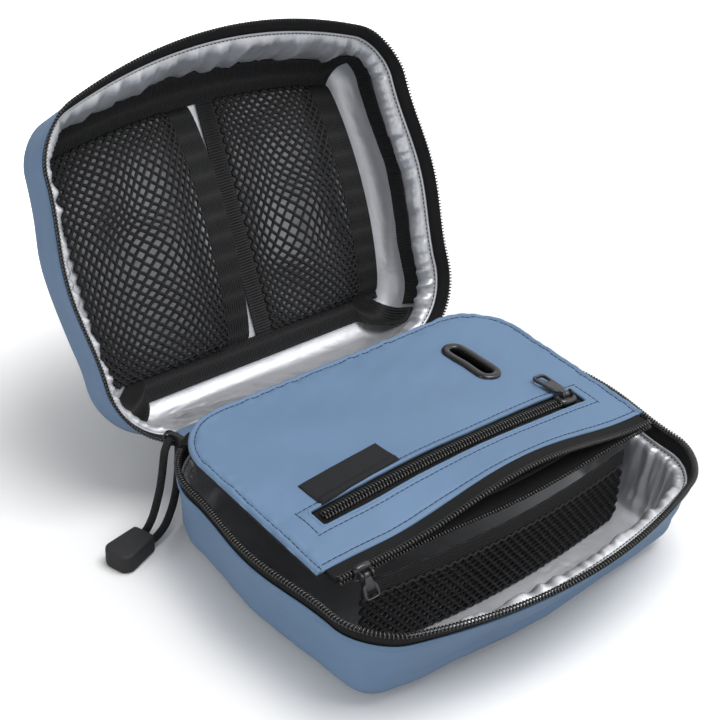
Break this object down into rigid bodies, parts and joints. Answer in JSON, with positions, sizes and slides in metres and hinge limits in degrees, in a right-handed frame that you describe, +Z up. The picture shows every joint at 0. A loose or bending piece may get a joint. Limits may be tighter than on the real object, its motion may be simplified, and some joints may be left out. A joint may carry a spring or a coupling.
{
  "type": "soft zip-round organiser case for a glucose meter",
  "caption": "Soft blue-grey zip case lying open, with silver lining, mesh lid pockets, a zipped inner pouch with a drop slot, and a cord zip pull; holds a glucose meter and its supplies.",
  "frame": {"origin": "middle of the flat underside of the base", "axes": "+X along the hinge to the right seen from the front, +Y to the hinge at the back, +Z up"},
  "size_m": [0.2301, 0.2879, 0.191],
  "materials": {
    "blue_cloth": "coated woven polyester, blue-grey, soft sheen",
    "silver_lining": "silver-coated nylon, crinkled, satin sheen",
    "board": "plain stiffening board, hidden",
    "zip_tape": "black woven polyester tape",
    "zip_coil": "black nylon coil, satin",
    "net": "black knitted net",
    "elastic": "black ribbed binding elastic",
    "webbing": "black cross-ribbed webbing",
    "pouch_lining": "black coated nylon",
    "dark_metal": "gunmetal plated zinc, satin",
    "black_metal": "black enamelled zinc",
    "eyelet_plastic": "glossy black moulded eyelet",
    "label": "bare charcoal woven label",
    "cord": "black braided cord",
    "cord_plastic": "black moulded soft plastic"
  },
  "bodies": {
    "base": {"base_shell": "blue_cloth", "floor_stiffener": "board", "base_lining": "silver_lining", "base_zip_tape": "zip_tape", "base_zip_coil": "zip_coil", "base_mesh_pocket": "net", "base_pocket_elastic": "elastic", "pouch_hinge_strip": "zip_tape"},
    "lid": {"lid_shell": "blue_cloth", "lid_lining": "silver_lining", "lid_zip_tape": "zip_tape", "lid_zip_coil": "zip_coil", "hinge_panel": "blue_cloth", "top_band": "webbing", "bottom_band": "webbing", "right_webbing": "webbing", "left_mesh_pocket": "net", "left_pocket_elastic": "elastic", "right_mesh_pocket": "net", "right_pocket_elastic": "elastic", "middle_webbing": "webbing"},
    "pouch": {"pouch_top_panel": "blue_cloth", "pouch_bottom_panel": "pouch_lining", "welt_tape": "zip_tape", "welt_coil": "zip_coil", "mouth_upper_tape": "zip_tape", "mouth_upper_coil": "zip_coil", "mouth_lower_tape": "zip_tape", "mouth_lower_coil": "zip_coil", "slot_eyelet": "eyelet_plastic", "woven_label": "label"},
    "welt_slider": {"welt_slider": "dark_metal"},
    "welt_pull": {"welt_pull": "dark_metal"},
    "mouth_slider": {"mouth_slider": "dark_metal"},
    "mouth_pull": {"mouth_pull": "dark_metal"},
    "main_slider": {"main_slider": "black_metal", "pull_cord": "cord", "cord_end": "cord_plastic"}
  },
  "joints": [
    {"name": "lid_hinge", "type": "hinge", "parent": "base", "child": "lid", "pos_m": [0, 0.0865, 0.0399], "axis": [-1, 0, 0], "range_deg": [-115.7, 25]},
    {"name": "pouch_lift", "type": "hinge", "parent": "base", "child": "pouch", "pos_m": [0, 0.081, 0.058], "axis": [-1, 0, 0], "range_deg": [0, 85]},
    {"name": "main_slider_run", "type": "hinge", "parent": "base", "child": "main_slider", "pos_m": [-0.064, 0.0505, 0.048], "axis": [0, 0, 1], "range_deg": [0, 48]},
    {"name": "welt_slider_run", "type": "hinge", "parent": "pouch", "child": "welt_slider", "pos_m": [0, -0.0045, -0.67641], "axis": [0, -1, 0], "range_deg": [0, 10]},
    {"name": "welt_pull_flip", "type": "hinge", "parent": "welt_slider", "child": "welt_pull", "pos_m": [0.06714, -0.0045, 0.06142], "axis": [0.9959, 0, -0.0906], "range_deg": [0, 150]},
    {"name": "mouth_slider_run", "type": "slide", "parent": "pouch", "child": "mouth_slider", "axis": [1, 0, 0], "range_m": [0, 0.01]},
    {"name": "mouth_pull_flip", "type": "hinge", "parent": "mouth_slider", "child": "mouth_pull", "pos_m": [-0.078, -0.0388, 0.053], "axis": [-1, 0, 0], "range_deg": [-25, 145]}
  ]
}
